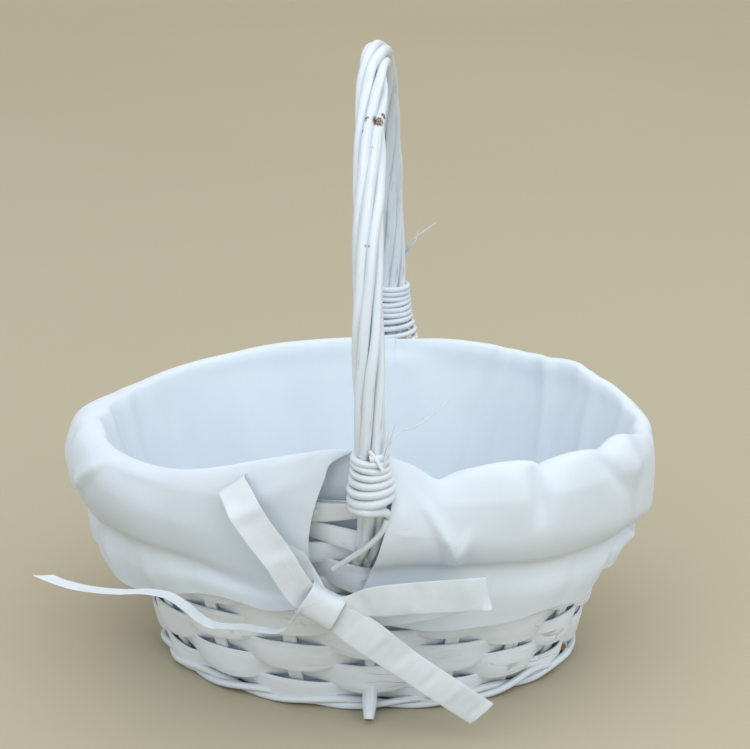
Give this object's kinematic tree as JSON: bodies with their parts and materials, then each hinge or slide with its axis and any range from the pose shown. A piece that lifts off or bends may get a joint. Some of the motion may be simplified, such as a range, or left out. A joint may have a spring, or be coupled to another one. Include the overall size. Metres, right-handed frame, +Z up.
{
  "type": "flower girl basket",
  "caption": "Oval woven willow basket, painted white, with a roped hoop handle, a satin liner folded over the rim and a ribbon bow tied at the front leg.",
  "frame": {"origin": "centre of the oval base on the floor, at the foot rod's underside", "axes": "+X along the oval's length to the right, -Y the front with the bow, +Z up to the handle's top"},
  "size_m": [0.2402, 0.2105, 0.2558],
  "materials": {
    "painted_splint": "matt white paint over split willow",
    "painted_willow": "matt white paint over round willow rods",
    "painted_cane": "matt white paint over split cane",
    "nail_steel": "painted over",
    "liner_satin": "soft polyester satin",
    "satin_ribbon": "white satin ribbon"
  },
  "bodies": {
    "root": {"cross_splint_1": "painted_splint", "cross_splint_2": "painted_splint", "cross_splint_3": "painted_splint", "cross_splint_4": "painted_splint", "cross_splint_5": "painted_splint", "long_splint_1": "painted_splint", "long_splint_2": "painted_splint", "long_splint_3": "painted_splint", "long_splint_4": "painted_splint", "base_weaver_1": "painted_splint", "base_weaver_2": "painted_splint", "base_weaver_3": "painted_splint", "base_weaver_4": "painted_splint", "base_weaver_5": "painted_splint", "wall_weaver_1": "painted_splint", "wall_weaver_2": "painted_splint", "wall_weaver_3": "painted_splint", "wall_weaver_4": "painted_splint", "wall_weaver_5": "painted_splint", "wall_weaver_6": "painted_splint", "wall_weaver_7": "painted_splint", "wall_weaver_8": "painted_splint", "wall_weaver_9": "painted_splint", "wall_weaver_10": "painted_splint", "rim_band_outer": "painted_splint", "rim_band_inner": "painted_splint", "rim_nails": "nail_steel", "foot_rod_lower": "painted_willow", "foot_rod_upper": "painted_willow", "handle_core": "painted_willow", "handle_strand_1": "painted_willow", "handle_strand_2": "painted_willow", "handle_strand_3": "painted_willow", "handle_strand_4": "painted_willow", "handle_strand_5": "painted_willow", "handle_strand_6": "painted_willow", "binding_cane_front": "painted_cane", "binding_cane_back": "painted_cane", "liner_bag": "liner_satin", "skirt_left": "liner_satin", "skirt_right": "liner_satin", "ribbon_knot": "satin_ribbon", "ribbon_loop_left": "satin_ribbon", "ribbon_loop_right": "satin_ribbon", "ribbon_tail_left": "satin_ribbon", "ribbon_tail_right": "satin_ribbon"}
  },
  "joints": []
}
